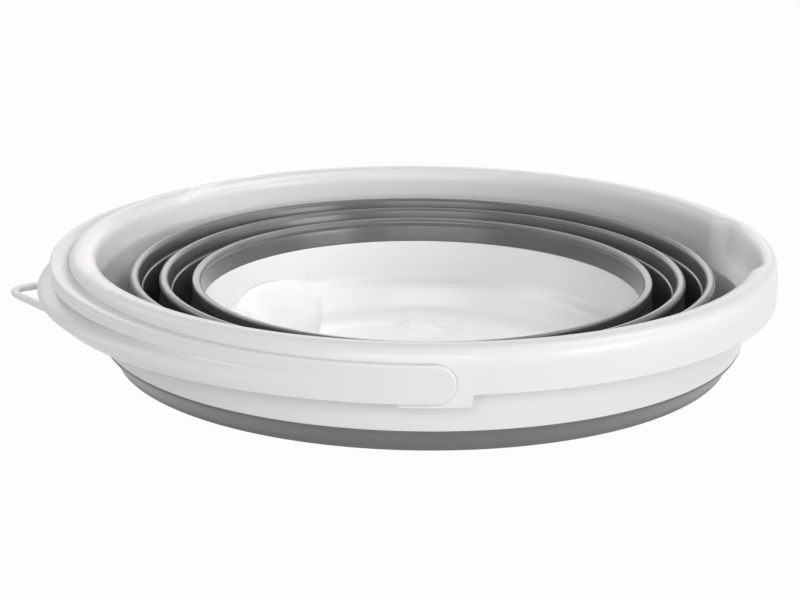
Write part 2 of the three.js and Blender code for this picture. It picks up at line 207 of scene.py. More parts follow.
def densified(profile: Array, spacing: Array) -> Array:
    """Adds points along a profile's straight runs.

    Args:
        profile: points in order, (point, 2).
        spacing: longest distance left between points on each run, (point - 1,).

    Returns:
        The profile with each longer run cut into equal parts.
    """
    runs = np.linalg.norm(np.diff(profile, axis=0), axis=1)
    counts = np.ceil(runs / spacing).astype(int)
    place = np.concatenate([i + np.arange(n) / n for i, n in enumerate(counts)] + [[len(counts)]])
    known = np.arange(len(profile))
    return np.stack([np.interp(place, known, profile[:, axis]) for axis in (0, 1)], axis=1)


def full_turn(count: int) -> Array:
    """Even azimuths round a full turn."""
    return np.linspace(0.0, 360.0, count, endpoint=False)


def azimuth_samples(count: int, clusters: list[tuple[float, float, int]]) -> Array:
    """Azimuths round a full turn, closer together where a shape changes fast.

    Args:
        count: even steps round the turn.
        clusters: (middle, half width, points) of each closer stretch, in degrees.

    Returns:
        Rising azimuths from 0 to below 360.
    """
    close = [np.linspace(middle - half, middle + half, points) for middle, half, points in clusters]
    merged = np.mod(np.concatenate([full_turn(count), *close]), 360.0)
    merged = np.unique(np.round(merged, AZIMUTH_DIGITS))
    return merged[np.concatenate([[True], np.diff(merged) > AZIMUTH_GAP])]


@dataclass
class Shell:
    """One closed surface: its points, its faces and how much of an edge each point is."""

    points: Array
    faces: list[Array]
    edge: Array

    @classmethod
    def from_grid(
        cls, grid: Array, edge: Array, wraps: tuple[bool, bool], poles: Array | None = None
    ) -> Shell:
        """Joins a grid of points into a closed surface.

        Args:
            grid: points, (row, column, 3).
            edge: edge amount of each point, (row, column).
            wraps: whether the last row joins the first one, and the last column the first one.
            poles: points that close the two ends where nothing joins, with a fan of triangles each, (2, 3).

        Returns:
            The closed surface.
        """
        rows, columns = grid.shape[:2]
        number = np.arange(rows * columns).reshape(rows, columns)
        steps = [np.arange(count if wrap else count - 1) for count, wrap in zip((rows, columns), wraps)]
        i, j = np.meshgrid(*steps, indexing="ij")
        below, beside = (i + 1) % rows, (j + 1) % columns
        quads = (number[i, j], number[below, j], number[below, beside], number[i, beside])
        faces = [np.stack([corner.ravel() for corner in quads], axis=1)]
        if poles is None:
            return cls(grid.reshape(-1, 3), faces, edge.ravel())
        rims = number[[0, -1]] if wraps[1] else number[:, [0, -1]].T
        for pole, rim in enumerate(rims):
            fan = [rim, np.roll(rim, -1)]
            if (pole == 0) != wraps[1]:
                fan.reverse()
            faces.append(np.stack([np.full(len(rim), rows * columns + pole), *fan], axis=1))
        points = np.concatenate([grid.reshape(-1, 3), poles])
        return cls(points, faces, np.append(edge.ravel(), np.zeros(len(poles))))

    def outward(self) -> list[Array]:
        """The faces, pointing outwards.

        Returns:
            The faces, turned round if the sum of a . (b x c) over all triangles, six times the volume, is
            negative.
        """
        quads = [face for face in self.faces if face.shape[1] == 4]
        corners = np.concatenate([f[:, :3] for f in self.faces] + [f[:, [0, 2, 3]] for f in quads])
        a, b, c = (self.points[corners[:, k]] for k in range(3))
        volume = np.einsum("ij,ij->", a, np.cross(b, c))
        return self.faces if volume > 0 else [face[:, ::-1] for face in self.faces]


def turned(section: Array, azimuth: Array) -> Array:
    """Carries sections round the axis.

    Args:
        section: (radius, height) points, (azimuth or 1, point, 2).
        azimuth: degrees, (azimuth,).

    Returns:
        Points (radius times cosine, radius times sine, height), (azimuth, point, 3).
    """
    angle = np.radians(azimuth)[:, None]
    radius, height, angle = np.broadcast_arrays(section[..., 0], section[..., 1], angle)
    return np.stack([radius * np.cos(angle), radius * np.sin(angle), height], axis=-1)


def edge_amount(section: Array) -> Array:
    """How much of a convex edge each point of a closed section is.

    Args:
        section: points in counter-clockwise order, (..., point, 2).

    Returns:
        The turn to the left at each point over the mean length of its two runs, times EDGE_RADIUS and kept
        from 0 to 1.
    """
    run = np.roll(section, -1, axis=-2) - section
    back = np.roll(run, 1, axis=-2)
    length, back_length = np.linalg.norm(run, axis=-1), np.linalg.norm(back, axis=-1)
    turn = back[..., 0] * run[..., 1] - back[..., 1] * run[..., 0]
    turn = np.clip(turn / np.maximum(length * back_length, TINY_AREA), -1.0, 1.0)
    bend = np.arcsin(turn) / np.maximum((length + back_length) / 2, TINY_LENGTH)
    return np.clip(bend * EDGE_RADIUS, 0.0, 1.0)


def revolved(section: Array, azimuth: Array, wrap: bool = True) -> Shell:
    """The closed surface of sections carried round the axis.

    Args:
        section: (radius, height) points, (azimuth or 1, point, 2).
        azimuth: degrees, (azimuth,).
        wrap: goes all the way round; otherwise a fan of triangles closes each end.

    Returns:
        The surface, with how much of an edge each point is.
    """
    rings = turned(section, azimuth)
    edge = np.broadcast_to(edge_amount(section), rings.shape[:2])
    return Shell.from_grid(rings, edge, (wrap, True), None if wrap else rings[[0, -1]].mean(axis=1))


def placed(name: str, data: bpy.types.ID) -> bpy.types.Object:
    """Makes an object and links it to the scene.

    Args:
        name: the object's name.
        data: its mesh, lamp or camera.

    Returns:
        The new object.
    """
    made = bpy.data.objects.new(name, data)
    bpy.context.scene.collection.objects.link(made)
    return made


class Value:
    """One output socket of a shader tree, for sums written as expressions."""

    def __init__(self, tree: ShaderTree, socket: bpy.types.NodeSocket) -> None:
        """Keeps the socket and the tree that it is in."""
        self.tree = tree
        self.socket = socket

    def _math(self, operation: str, first: Value | float, second: Value | float) -> Value:
        """Adds one Math node to the tree."""
        return self.tree.node("ShaderNodeMath", {"operation": operation}, {0: first, 1: second})

    def __add__(self, other: Value | float) -> Value:
        """This value plus another."""
        return self._math("ADD", self, other)

    def __radd__(self, other: float) -> Value:
        """A number plus this value."""
        return self._math("ADD", other, self)

    def __sub__(self, other: Value | float) -> Value:
        """This value less another."""
        return self._math("SUBTRACT", self, other)

    def __rsub__(self, other: float) -> Value:
        """A number less this value."""
        return self._math("SUBTRACT", other, self)

    def __mul__(self, other: Value | float) -> Value:
        """This value times another."""
        return self._math("MULTIPLY", self, other)

    def __rmul__(self, other: float) -> Value:
        """A number times this value."""
        return self._math("MULTIPLY", other, self)


class ShaderTree:
    """The node tree of a material or the world, emptied."""

    def __init__(self, owner: bpy.types.Material | bpy.types.World) -> None:
        """Turns the owner's nodes on and clears them.

        Args:
            owner: the material or the world.
        """
        owner.use_nodes = True
        self.tree = owner.node_tree
        self.tree.nodes.clear()

    @staticmethod
    def _find(sockets: Any, key: str | int) -> bpy.types.NodeSocket:
        """Finds a socket of a node.

        Args:
            sockets: the node's inputs or outputs.
            key: the socket's number, its identifier or its name.

        Returns:
            The socket.
        """
        if isinstance(key, int):
            return sockets[key]
        return next((s for s in sockets if s.identifier == key), None) or sockets[key]

    def node(
        self,
        kind: str,
        settings: dict[str, Any] | None = None,
        inputs: dict[str | int, Any] | None = None,
        output: str | int = 0,
    ) -> Value | None:
        """Makes one node.

        Args:
            kind: the node's type.
            settings: attributes to set first; "stops" holds a ramp's (place, colour) pairs.
            inputs: the value or the link of each socket that is set.
            output: the socket to return.

        Returns:
            That output, or None for a node with no outputs.
        """
        node = self.tree.nodes.new(kind)
        for key, setting in (settings or {}).items():
            if key == "stops":
                ramp = node.color_ramp.elements
                for stop, (place, colour) in zip([ramp[0], ramp[1]], setting):
                    stop.position, stop.color = place, colour
            else:
                setattr(node, key, setting)
        for key, given in (inputs or {}).items():
            socket = self._find(node.inputs, key)
            if isinstance(given, Value):
                self.tree.links.new(given.socket, socket)
            else:
                socket.default_value = given
        return Value(self, self._find(node.outputs, output)) if len(node.outputs) else None

    def place(self) -> Value:
        """The point on the object, in metres."""
        return self.node("ShaderNodeTexCoord", output="Object")

    def noise(self, place: Value, scale: float, detail: float = 2.0, roughness: float = 0.5) -> Value:
        """A cloud from 0 to 1, with about this many lumps in a metre."""
        values = {"Vector": place, "Scale": scale, "Detail": detail, "Roughness": roughness}
        return self.node("ShaderNodeTexNoise", {}, values, "Fac")

    def band(self, value: Value, low: float, high: float) -> Value:
        """0 below low, 1 above high, smooth between them."""
        settings = {"interpolation_type": "SMOOTHSTEP"}
        return self.node("ShaderNodeMapRange", settings, {"Value": value, "From Min": low, "From Max": high})

    def tint(self, share: Value, first: tuple[float, ...] | Value, second: tuple[float, ...]) -> Value:
        """The mix of two colours."""
        inputs = {"Factor_Float": share, "A_Color": first, "B_Color": second}
        return self.node("ShaderNodeMix", {"data_type": "RGBA"}, inputs, "Result_Color")

    def edge(self) -> Value:
        """How much of an edge the surface is."""
        return self.node("ShaderNodeAttribute", {"attribute_name": EDGE_ATTRIBUTE}, {}, "Fac")

    def skin(self, inputs: dict[str, Any], relief: Value, bump: tuple[float, float]) -> None:
        """Ends a material with its surface.

        Args:
            inputs: the surface's values.
            relief: height of the fine relief.
            bump: strength of the relief, and its depth in metres.
        """
        strength, depth = bump
        normal = self.node("ShaderNodeBump", {}, {"Strength": strength, "Distance": depth, "Height": relief})
        shader = self.node("ShaderNodeBsdfPrincipled", {}, {**inputs, "Normal": normal})
        self.node("ShaderNodeOutputMaterial", {}, {"Surface": shader})


@dataclass(frozen=True)
class WhitePlastic:
    """White moulded plastic: soft gloss, a faint peel in the surface, duller and greyer where rubbed."""

    name: str = Finish.WHITE_PLASTIC.value[0]
    colour: tuple[float, ...] = (0.93, 0.932, 0.928, 1.0)
    rubbed: tuple[float, ...] = (0.905, 0.905, 0.898, 1.0)
    rubbed_tint: float = 0.5
    drift_tint: float = 0.3
    gloss: float = 0.25
    rubbed_gloss: float = 0.12
    drift_gloss: float = 0.03
    drift_size: float = 7.0
    peel_size: float = 260.0
    grain_size: float = 2600.0
    grain_height: float = 0.25  # against the peel's
    bump: tuple[float, float] = (0.06, 0.0006)
    ior: float = 1.49

    def material(self) -> bpy.types.Material:
        """Builds the finish.

        Returns:
            A material whose colour and roughness drift over the surface and change along rubbed edges.
        """
        material = bpy.data.materials.new(self.name)
        tree = ShaderTree(material)
        place = tree.place()
        drift = tree.noise(place, self.drift_size, 1.0)
        wear = tree.edge() * drift
        colour = tree.tint(self.rubbed_tint * wear + self.drift_tint * drift, self.colour, self.rubbed)
        roughness = self.gloss + self.drift_gloss * drift + self.rubbed_gloss * wear
        peel = tree.noise(place, self.peel_size)
        relief = peel + self.grain_height * tree.noise(place, self.grain_size, 1.0)
        tree.skin({"Base Color": colour, "Roughness": roughness, "IOR": self.ior}, relief, self.bump)
        return material


@dataclass(frozen=True)
class GreyRubber:
    """Grey soft-touch rubber: satin, finely grained, paler and smoother along the handled crests."""

    name: str = Finish.GREY_RUBBER.value[0]
    # the folds' colours are darker than the outer band's copy of the same rubber: painted shade for the deep
    # folds
    colour: tuple[float, ...] = (0.085, 0.086, 0.088, 1.0)
    dusted: tuple[float, ...] = (0.10, 0.10, 0.101, 1.0)
    handled: tuple[float, ...] = (0.15, 0.15, 0.15, 1.0)
    dust_band: tuple[float, float] = (0.35, 0.75)  # flow where the dust begins and is full
    handled_band: tuple[float, float] = (0.2, 0.6)
    handled_share: float = 0.5
    satin: float = 0.3
    flow_satin: float = 0.1
    edge_gloss: float = 0.06
    sheen: float = 0.75  # share of a smoother skin over the satin
    sheen_satin: float = 0.2
    grain_size: float = 3200.0
    flow_size: float = 55.0
    flow_detail: float = 4.0
    flow_roughness: float = 0.6
    flow_height: float = 0.6  # against the grain's
    bump: tuple[float, float] = (0.12, 0.0004)
    ior: float = 1.5

    def material(self) -> bpy.types.Material:
        """Builds the finish.

        Returns:
            A material with slow flow marks, a fine grain and paler edges.
        """
        material = bpy.data.materials.new(self.name)
        tree = ShaderTree(material)
        place = tree.place()
        flow = tree.noise(place, self.flow_size, self.flow_detail, self.flow_roughness)
        grain = tree.noise(place, self.grain_size)
        edge = tree.edge()
        base = tree.tint(tree.band(flow, *self.dust_band), self.colour, self.dusted)
        touched = self.handled_share * edge * tree.band(flow, *self.handled_band)
        colour = tree.tint(touched, base, self.handled)
        roughness = self.satin + self.flow_satin * flow - self.edge_gloss * edge
        values = {"Base Color": colour, "Roughness": roughness, "IOR": self.ior}
        values |= {"Coat Weight": self.sheen, "Coat Roughness": self.sheen_satin}
        tree.skin(values, grain + self.flow_height * flow, self.bump)
        return material


@dataclass
class Workshop:
    """Turns surfaces into named pieces of the object with their finish."""

    finishes: dict[Finish, bpy.types.Material]

    def piece(
        self, name: str, shells: list[Shell], finish: Finish, nodes: tuple[str, ...]
    ) -> bpy.types.Object:
        """Makes one piece from closed surfaces in millimetres.

        Args:
            name: the piece's name.
            shells: its surfaces.
            finish: the finish it gets.
            nodes: CAD nodes that it stands for.

        Returns:
            The new object, at the origin, smooth shaded, on no body yet.
        """
        points, faces, start = [], [], 0
        for shell in shells:
            points.append(shell.points * MM)
            faces += [face + start for face in shell.outward()]
            start += len(shell.points)
        mesh = bpy.data.meshes.new(name)
        mesh.from_pydata(np.concatenate(points).tolist(), [], [f for face in faces for f in face.tolist()])
        mesh.polygons.foreach_set("use_smooth", np.ones(len(mesh.polygons), bool))
        edge = mesh.attributes.new(EDGE_ATTRIBUTE, "FLOAT", "POINT")
        edge.data.foreach_set("value", np.concatenate([s.edge for s in shells]).astype(np.float32))
        mesh.materials.append(self.finishes[finish])
        mesh.update()
        made = placed(name, mesh)
        if nodes:
            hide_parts(*nodes)
        log.info("%s: %d points, %d faces", name, len(mesh.vertices), len(mesh.polygons))
        return made

    def rigid(
        self, name: str, shells: list[Shell], finish: Finish, body: Body, *nodes: str
    ) -> bpy.types.Object:
        """A piece that moves with one body and stands for the given CAD nodes."""
        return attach(self.piece(name, shells, finish, nodes), body.value)


@dataclass(frozen=True)
class Datum:
    """Main radii and heights of the folded bucket, read from the CAD frame, in millimetres."""

    brim_radius: float
    lip_height: float
    seam_radius: float
    seam_height: float
    eye_tip: float
    pivot_height: float
    crest_reach: tuple[float, ...]
    crest_height: tuple[float, ...]
    root_height: tuple[float, ...]
    cup_height: float

    @classmethod
    def read(cls, joints: list[dict[str, Any]]) -> Datum:
        """Reads the nodes' boxes and the handle's pivot.

        Args:
            joints: the frame's joints.

        Returns:
            The measured sizes.
        """
        crests = ("fold_ring_1", "fold_ring_2", "inner_band")
        roots = ("outer_band", "fold_ring_1", "fold_ring_2")
        boxes = {n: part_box(n) for n in ("rim_collar", "outer_band", *crests, "base_cup")}
        high = {n: box[1] / MM for n, box in boxes.items()}
        low = {n: box[0] / MM for n, box in boxes.items()}
        pivot = next(j["pos_m"] for j in joints if j["name"] == "handle_swing")
        return cls(
            brim_radius=high["rim_collar"].y,
            lip_height=high["rim_collar"].z,
            seam_radius=high["outer_band"].y,
            seam_height=low["rim_collar"].z,
            eye_tip=-low["rim_collar"].x,
            pivot_height=pivot[2] / MM,
            crest_reach=tuple(high[n].y for n in crests),
            crest_height=tuple(high[n].z for n in crests),
            root_height=tuple(low[n].z for n in roots),
            cup_height=high["base_cup"].z,
        )


@dataclass
class RimCollar:
    """The stiff white collar: skirt, hollow brim, rolled lip, pouring lip, pivot tabs and hanging eye."""

    datum: Datum
    wall: float = 2.4
    brim_drop: float = 5.2  # brim's lower edge, below the pivot
    brim_depth: float = 10.3  # brim's straight outer wall
    lip_overhang: float = 6.8  # lip's crest, past the seam
    inner_roll: float = 5.3  # lip's crest to the inner wall
    inner_fall: float = 6.0
    spout_reach: float = 4.8
    spout_half_angle: float = 18.5
    spout_tip_angle: float = 13.5
    scoop_depth: float = 22.4
    tab_half_width: float = 14.5
    tab_depth: float = 5.2
    tab_end: float = 0.5  # rounding of a tab's ends
    eye_half_width: float = 29.0
    eye_strand: float = 4.2
    eye_thickness: float = 2.2
    eye_slope: float = 0.1
    eye_tip_cut: float = 14.0
    eye_hole_cut: float = 8.0
    eye_root_drop: float = 8.5  # eye's root, below the brim's lower edge
    eye_tip_drop: float = 5.8  # eye's tip, below the brim's lower edge
    eye_bury: float = 1.3  # depth of the eye's root in the brim, in walls
    eye_gap: float = 0.8  # brim to the eye's hole, in strands
    scoop_shares: tuple[float, ...] = (0.85, 0.6, 0.35)  # corners down the pouring lip's scoop
    hollow_share: float = 0.45  # width of either rounding in the roof of the brim's hollow
    seam_cut: float = 0.25  # reach of the roundings: seam, brim's edge, walls, eye's root, eye's edges
    edge_cut: float = 0.7
    easy_cut: float = 4.0
    eye_base_cut: float = 0.5
    eye_edge_cut: float = 0.9
    tab_cluster: tuple[float, int] = (0.5, 11)  # degrees either side of a tab's end, and points there
    spout_cluster: tuple[float, int] = (1.0, 101)  # degrees past the pouring lip, and points across it
    samples: int = 7
    eye_samples: int = 15
    eye_edge_samples: int = 5

    @property
    def brim_lower(self) -> float:
        """Height of the brim's lower edge."""
        return self.datum.pivot_height - self.brim_drop

    @property
    def leg_slope(self) -> float:
        """Half width over length of the eye's triangle."""
        return self.eye_half_width / (self.datum.eye_tip - self.datum.brim_radius + self.wall / 2)

    def spout_share(self, azimuth: Array) -> Array:
        """1 in the middle of the pouring lip, 0 outside it, smooth between its two angles."""
        away = np.abs(np.mod(azimuth + 180.0, 360.0) - 180.0)
        return 1.0 - smoothstep(away, self.spout_tip_angle, self.spout_half_angle)

    def within(self, place: Array, half: float) -> Array:
        """1 nearer to the middle than half, 0 farther away, smooth over a tab's end."""
        return 1.0 - smoothstep(np.abs(place), half - self.tab_end, half + self.tab_end)

    def lower_edge(self, azimuth: Array) -> Array:
        """Height of the brim's lower edge round the turn.

        Args:
            azimuth: degrees, (azimuth,).

        Returns:
            The brim's own edge, less the tabs' depth at the two pivots and the drop of the root at the eye.
        """
        angle = np.radians(azimuth)
        x, y = self.datum.brim_radius * np.cos(angle), self.datum.brim_radius * np.sin(angle)
        tab = self.within(x, self.tab_half_width)
        eye = np.where(x < 0.0, self.within(y, self.eye_half_width), 0.0)
        return self.brim_lower - self.tab_depth * tab - self.eye_root_drop * eye

    def inner_radius(self, height: float, azimuth: Array) -> Array:
        """Radius of the inner wall.

        Args:
            height: height above the ground.
            azimuth: degrees, (azimuth,).

        Returns:
            A cone from the seam to the roll, plus the pouring lip's reach times its share and a smooth step
            up the scoop.
        """
        datum = self.datum
        top = datum.lip_height - self.inner_fall
        foot, head = datum.seam_radius - self.wall, datum.seam_radius + self.lip_overhang - self.inner_roll
        cone = mix(foot, head, (height - datum.seam_height) / (top - datum.seam_height))
        scoop = smoothstep(height, top - self.scoop_depth, top)
        return cone + self.spout_reach * self.spout_share(azimuth) * scoop

    def section(self, azimuth: Array) -> Array:
        """The collar's outline at each azimuth.

        Args:
            azimuth: degrees, (azimuth,).

        Returns:
            Up the skirt, round the brim's hollow, up the brim, over the lip and down the inside.
        """
        datum, wall, crest, count = self.datum, self.wall, self.datum.lip_height, len(azimuth)
        brim, brim_inner = datum.brim_radius, datum.brim_radius - wall
        brim_upper = self.brim_lower + self.brim_depth
        lower = self.lower_edge(azimuth)
        roll_foot = crest - self.inner_fall
        roll_inner = self.inner_radius(roll_foot, azimuth)
        roll_radius = datum.seam_radius + self.lip_overhang + self.spout_reach * self.spout_share(azimuth) / 2
        heights = [roll_foot - self.scoop_depth * share for share in self.scoop_shares]
        inside = [(self.inner_radius(height, azimuth), height) for height in heights]
        hollow_inner = self.inner_radius(brim_upper, azimuth) + wall
        corners = [
            (datum.seam_radius - wall, datum.seam_height),
            (datum.seam_radius, datum.seam_height),
            *[(radius + wall, height) for radius, height in inside],
            (hollow_inner, crest - wall),
            (brim_inner, crest - wall),
            (brim_inner, lower),
            (brim, lower),
            (brim, crest),
            (roll_inner, crest),
            *inside[::-1],
        ]
        seam, edge = (self.seam_cut,) * 2, (self.edge_cut,) * 2
        easy = [(self.easy_cut,) * 2] * len(inside)
        roof, roof_half = crest - wall - brim_upper, (brim_inner - hollow_inner) * self.hollow_share
        cuts = [
            seam,
            seam,
            *easy,
            (roof, roof_half),
            (roof_half, roof),
            edge,
            edge,
            (crest - brim_upper, brim - roll_radius),
            (roll_radius - roll_inner, crest - roll_foot),
            *easy,
        ]
        return closed_section(stacked(corners, count), stacked(cuts, count), self.samples)

    def ring(self) -> Shell:
        """The collar itself.

        Returns:
            The section carried round, sampled closely at the ends of the tabs and across the pouring lip.
        """
        tab = math.degrees(math.asin(self.tab_half_width / self.datum.brim_radius))
        eye = math.degrees(math.asin(self.eye_half_width / self.datum.brim_radius))
        ends = [90 - tab, 90 + tab, 270 - tab, 270 + tab, 180 - eye, 180 + eye]
        clusters = [(end, *self.tab_cluster) for end in ends]
        past, points = self.spout_cluster
        clusters.append((0.0, self.spout_half_angle + past, points))
        azimuth = azimuth_samples(TURN_STEPS, clusters)
        return revolved(self.section(azimuth), azimuth)

    def eye_outline(self, tip: float, base: float, cut: float) -> Array:
        """A triangle with a round tip, drawn in plan.

        Args:
            tip: distance of the sharp tip from the axis.
            base: distance of the straight side from the axis.
            cut: how far the tip's rounding reaches along the two legs.

        Returns:
            Points (x, y) in order, with the legs at the eye's own slope.
        """
        half = (tip - base) * self.leg_slope
        corners = np.array([[-base, half], [-tip, 0.0], [-base, -half]])
        cuts = np.repeat([[self.eye_base_cut], [cut], [self.eye_base_cut]], 2, axis=1)
        return closed_section(corners, cuts, self.eye_samples)

    def hanging_eye(self) -> Shell:
        """The flat loop under the middle of the handle.

        Returns:
            A band of even thickness between two triangles, rising outwards at the eye's slope.
        """
        datum, slope, thick = self.datum, self.leg_slope, self.eye_thickness
        leg = math.hypot(slope, 1.0)
        tip = datum.eye_tip + self.eye_tip_cut / leg / 2
        outer = self.eye_outline(tip, datum.brim_radius - self.eye_bury * self.wall, self.eye_tip_cut)
        hole_tip = tip - self.eye_strand * leg / slope
        hole_base = datum.brim_radius + self.eye_strand * self.eye_gap
        inner = self.eye_outline(hole_tip, hole_base, self.eye_hole_cut)
        across = outer - inner
        width = np.linalg.norm(across, axis=1)
        corners = stacked([(0.0, 0.0), (width, 0.0), (width, thick), (0.0, thick)], len(width))
        section = closed_section(corners, np.full(corners.shape, self.eye_edge_cut), self.eye_edge_samples)
        plan = inner[:, None, :] + across[:, None, :] * (section[..., :1] / width[:, None, None])
        rise = self.brim_lower - self.eye_tip_drop - self.eye_slope * (plan[..., 0] + datum.eye_tip)
        rings = np.concatenate([plan, (section[..., 1] + rise)[..., None]], axis=-1)
        return Shell.from_grid(rings, edge_amount(section), (True, True))

    def build(self, shop: Workshop) -> None:
        """Makes the collar and its hanging eye, both on the collar body."""
        shop.rigid("rim_collar_shell", [self.ring()], Finish.WHITE_PLASTIC, Body.COLLAR, "rim_collar")
        shop.rigid("hanging_eye", [self.hanging_eye()], Finish.WHITE_PLASTIC, Body.COLLAR)


@dataclass
class BailHandle:
    """The white handle: a half ring with a flared, grooved grip, flat ends, round eyes and pivot pegs."""

    datum: Datum
    run_gap: float = 0.7
    band: float = 2.4
    width: float = 16.2
    edge: float = 1.0
    grip_rise: float = 2.0
    foot_reach: float = 3.9
    flange_reach: float = 10.4
    bead_reach: float = 4.6
    flange_low: float = 5.0
    flange_high: float = 6.2
    shoulder_height: float = 9.9  # where the lip's slope meets the groove
    softness: float = 0.6  # rounding along the profile
    softness_steps: int = 9
    groove_height: float = 10.4
    groove_depth: float = 5.2
    groove_half: float = 0.45  # its steep upper side, under the bead
    groove_fall: float = 2.0  # its long lower side, down the lip's slope
    line_height: float = 14.85  # fine line under the grip's top edge
    line_depth: float = 0.8
    line_half: float = 0.35
    top_lip: float = 1.3  # the top's inner edge, reaching in over the gap
    top_edge: float = 0.8  # height of that edge
    grip_full_angle: float = 20.0
    grip_end_angle: float = 78.0
    channel_wall: float = 2.2
    channel_low: float = 0.85  # channel's lower corner, as a share of the lip's lower edge
    roof_drop: float = 0.8  # channel's roof, below the lip's upper edge
    roof_crown: float = 0.2  # rise of the roof's middle
    roof_ease: float = 0.4  # fall of its outer end
    heel_share: float = 0.25  # channel's heel, on the way from the foot's reach to the lip's
    heel_rise: float = 1.1  # its height, in channel walls
    dish_radius: float = 7.4  # shallow dish round each pivot
    dish_flat: float = 0.2  # share of that radius where the dish is level
    dish_depth: float = 0.25
    peg_radius: float = 3.0
    peg_lip: float = 0.9
    peg_head: float = 1.5
    peg_dome: float = 0.5
    peg_edge: float = 0.5
    peg_play: float = 0.6  # gap between the brim's wall and the peg's head
    brim_wall: float = 2.4
    end_zone: float = 86.0  # angle where closer steps towards a round end begin
    end_share: float = 0.9995  # how much of a round end is drawn, short of its tip
    least_half: float = 0.1  # half height left at the tip
    along_steps: int = 150
    near_steps: int = 20
    end_steps: int = 26
    edge_zone: float = 0.2  # share of the height that is sampled closely at either edge
    edge_steps: int = 25
    face_steps: int = 56
    peg_samples: int = 4
    peg_steps: int = 40

    @property
    def inner(self) -> float:
        """Inner radius of the flat band."""
        return self.datum.brim_radius + self.run_gap

    def angles(self) -> Array:
        """Angles from the middle of the handle.

        Returns:
            Even steps along it, closer ones before the round ends, and the steps of a sine round each end.
        """
        half_turn = math.degrees(math.asin(self.width / 2 / self.inner))
        along = np.linspace(0.0, self.end_zone, self.along_steps, endpoint=False)
        near = np.linspace(self.end_zone, 90.0, self.near_steps, endpoint=False)
        ends = 90.0 + half_turn * np.sin(np.linspace(0.0, np.pi / 2, self.end_steps)) * self.end_share
        half = np.concatenate([along, near, ends])
        return np.concatenate([-half[:0:-1], half])

    def grip_profile(self, above: Array) -> Array:
        """How far the grip stands out from the flat band.

        Args:
            above: height above the handle's lower edge, scaled to the flat band's width.

        Returns:
            Straight runs from the foot to the lip and up the lip's slope to the bead, each corner softened by
            averaging along the height, less a groove, steep above and long below, and a fine line.
        """
        heights = (0.0, self.flange_low, self.flange_high, self.shoulder_height)
        reaches = (self.foot_reach, self.flange_reach, self.flange_reach, self.bead_reach)
        shifts = np.linspace(-self.softness, self.softness, self.softness_steps)
        runs = np.mean([np.interp(above + shift, heights, reaches) for shift in shifts], axis=0)
        away = above - self.groove_height
        groove_reach = np.where(away > 0.0, self.groove_half, self.groove_fall)
        groove = self.groove_depth * np.exp(-((away / groove_reach) ** 2))
        line = self.line_depth * np.exp(-(((above - self.line_height) / self.line_half) ** 2))
        return runs - groove - line

    def section(self, angle: Array) -> Array:
        """The handle's outline at each angle from its middle.

        The outer face stands out from the inner one by the band's thickness plus the grip's share of its
        profile. It falls away in a quarter circle along the outline, and dips in a dish round the pivot.

        Args:
            angle: degrees, (angle,).

        Returns:
            Outer face from bottom to top, then the inner face with the channel behind the lip.
        """
        datum = self.datum
        angle = angle[:, None]
        grip = 1.0 - smoothstep(np.abs(angle), self.grip_full_angle, self.grip_end_angle)
        radius = self.width / 2
        past = np.maximum(self.inner * np.sin(np.radians(np.abs(angle) - 90.0)), 0.0)
        half = np.sqrt(np.maximum(radius * radius - past * past, self.least_half**2))
        lower, upper = datum.pivot_height - half, datum.pivot_height + half + self.grip_rise * grip
        share = (1.0 - np.cos(np.linspace(0.0, np.pi, self.edge_steps))) / 2 * self.edge_zone
        middle = np.linspace(self.edge_zone, 1.0 - self.edge_zone, self.face_steps)[1:-1]
        across = np.concatenate([share[:-1], middle, 1.0 - share[::-1][1:]])
        height = lower + (upper - lower) * across
        profile = self.grip_profile(across * self.width)
        from_outline = np.where(
            past > 0.0,
            radius - np.hypot(past, height - datum.pivot_height),
            np.minimum(height - lower, upper - height),
        )
        aside = self.inner * np.sin(np.radians(90.0 - np.abs(angle)))
        to_pivot = np.hypot(aside, height - datum.pivot_height)
        level = self.dish_flat * self.dish_radius
        dish = self.dish_depth * (1.0 - smoothstep(to_pivot, level, self.dish_radius))
        outer = self.inner + self.band + grip * profile - edge_drop(from_outline, self.edge) - dish
        outside = np.stack([outer, height], axis=-1)
        return np.concatenate([outside, self.inside(grip[:, 0], half[:, 0], upper[:, 0])], axis=1)

    def inside(self, grip: Array, half: Array, upper: Array) -> Array:
        """The inner face from top to bottom, with the channel behind the flared lip.

        Args:
            grip: the grip's share, (angle,).
            half: half the band's height.
            upper: height of the top.

        Returns:
            Points in order, (angle, point, 2); the channel's depth fades with the grip's share.
        """
        inner, wall = self.inner, self.channel_wall
        lower = self.datum.pivot_height - half
        scale = half / (self.width / 2)
        lip = inner - self.top_lip * grip
        deep = (self.flange_reach + self.band - wall) * grip
        heel = (mix(self.foot_reach, self.flange_reach, self.heel_share) + self.band - wall) * grip
        roof = lower + (self.flange_high - self.roof_drop) * scale
        corners = [
            (lip, upper),
            (lip, upper - self.top_edge * scale),
            (inner, (upper + roof) / 2),
            (inner, roof),
            (inner + deep / 2, roof + self.roof_crown * scale),
            (inner + deep, roof - self.roof_ease * scale),
            (inner + deep, lower + self.flange_low * self.channel_low * scale),
            (inner + heel, lower + wall * self.heel_rise * scale),
            (inner, lower + wall * scale),
            (inner, lower),
        ]
        return stacked(corners, len(grip))

